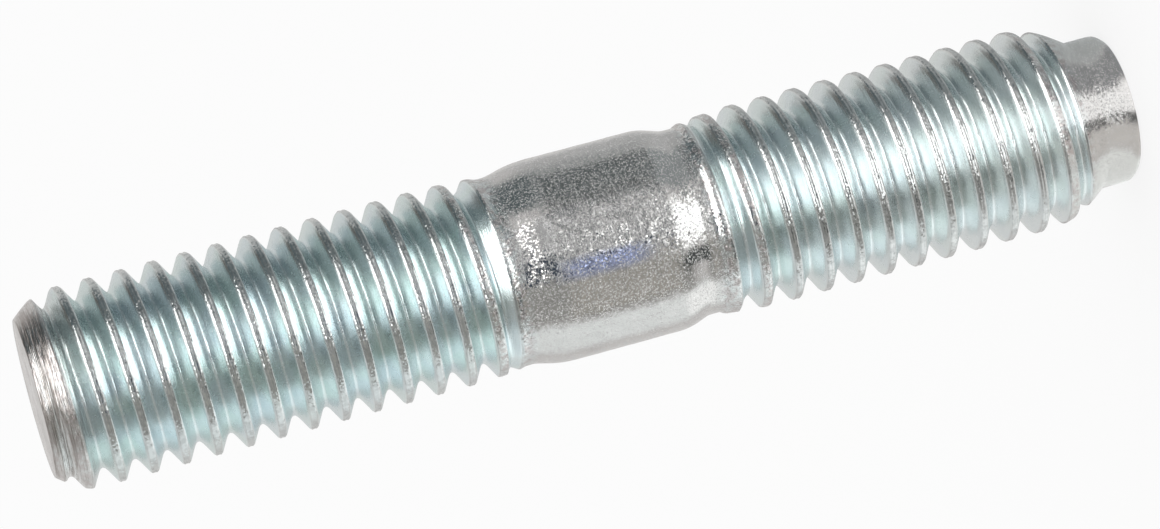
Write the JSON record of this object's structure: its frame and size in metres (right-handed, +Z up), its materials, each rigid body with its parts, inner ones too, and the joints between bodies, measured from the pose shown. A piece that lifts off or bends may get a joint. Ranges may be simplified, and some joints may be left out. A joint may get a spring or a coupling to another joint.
{
  "type": "cylinder head stud",
  "caption": "Double-ended threaded stud with a plain body between rolling necks and a dog point at the block end, zinc-plated steel, for clamping a cylinder or cylinder head under a nut.",
  "frame": {"origin": "centre of the dog point's flat end face, where the stud stands", "axes": "+Z up the stud's axis from the dog point, the metal end, to the nut end; X and Y square to it"},
  "size_m": [0.008, 0.008, 0.0435],
  "materials": {
    "zinc_plate": "clear blue-passivated zinc plate over rolled steel, semi-bright, with a faint cool tint and handling nicks"
  },
  "bodies": {
    "root": {"stud": "zinc_plate"}
  },
  "joints": []
}
